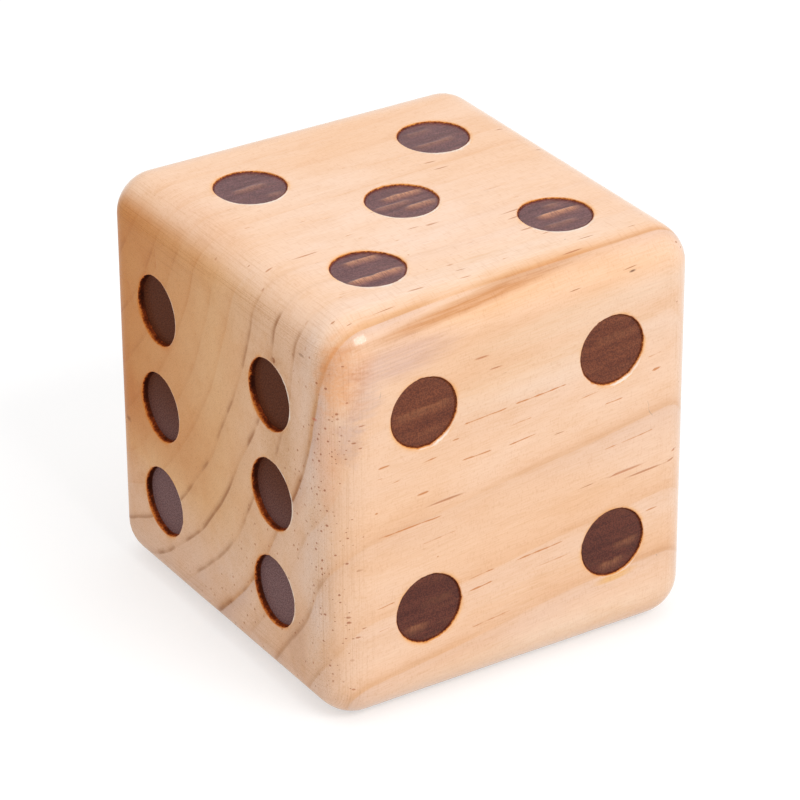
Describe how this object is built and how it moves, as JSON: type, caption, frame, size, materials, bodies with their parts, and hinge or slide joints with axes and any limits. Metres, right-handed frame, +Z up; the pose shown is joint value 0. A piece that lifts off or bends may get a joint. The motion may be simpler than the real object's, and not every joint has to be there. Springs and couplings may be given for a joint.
{
  "type": "wooden die",
  "caption": "Large cube-shaped game die cut from one block of softwood, with rounded edges and shallow dark round pips.",
  "frame": {"origin": "middle of the underside, which shows two pips", "axes": "+Z up through the face with five pips; -Y out of the face with four; -X out of the end-grain face with six; the grain runs along X"},
  "size_m": [0.088, 0.0918, 0.0906],
  "materials": {
    "wood": "pale pine under a thin satin lacquer, with long grain on four faces and end grain on two",
    "burnt_pip": "dark brown burnt wood in the pips, satin, with an amber scorched wall"
  },
  "bodies": {
    "root": {"die": "wood"}
  },
  "joints": []
}
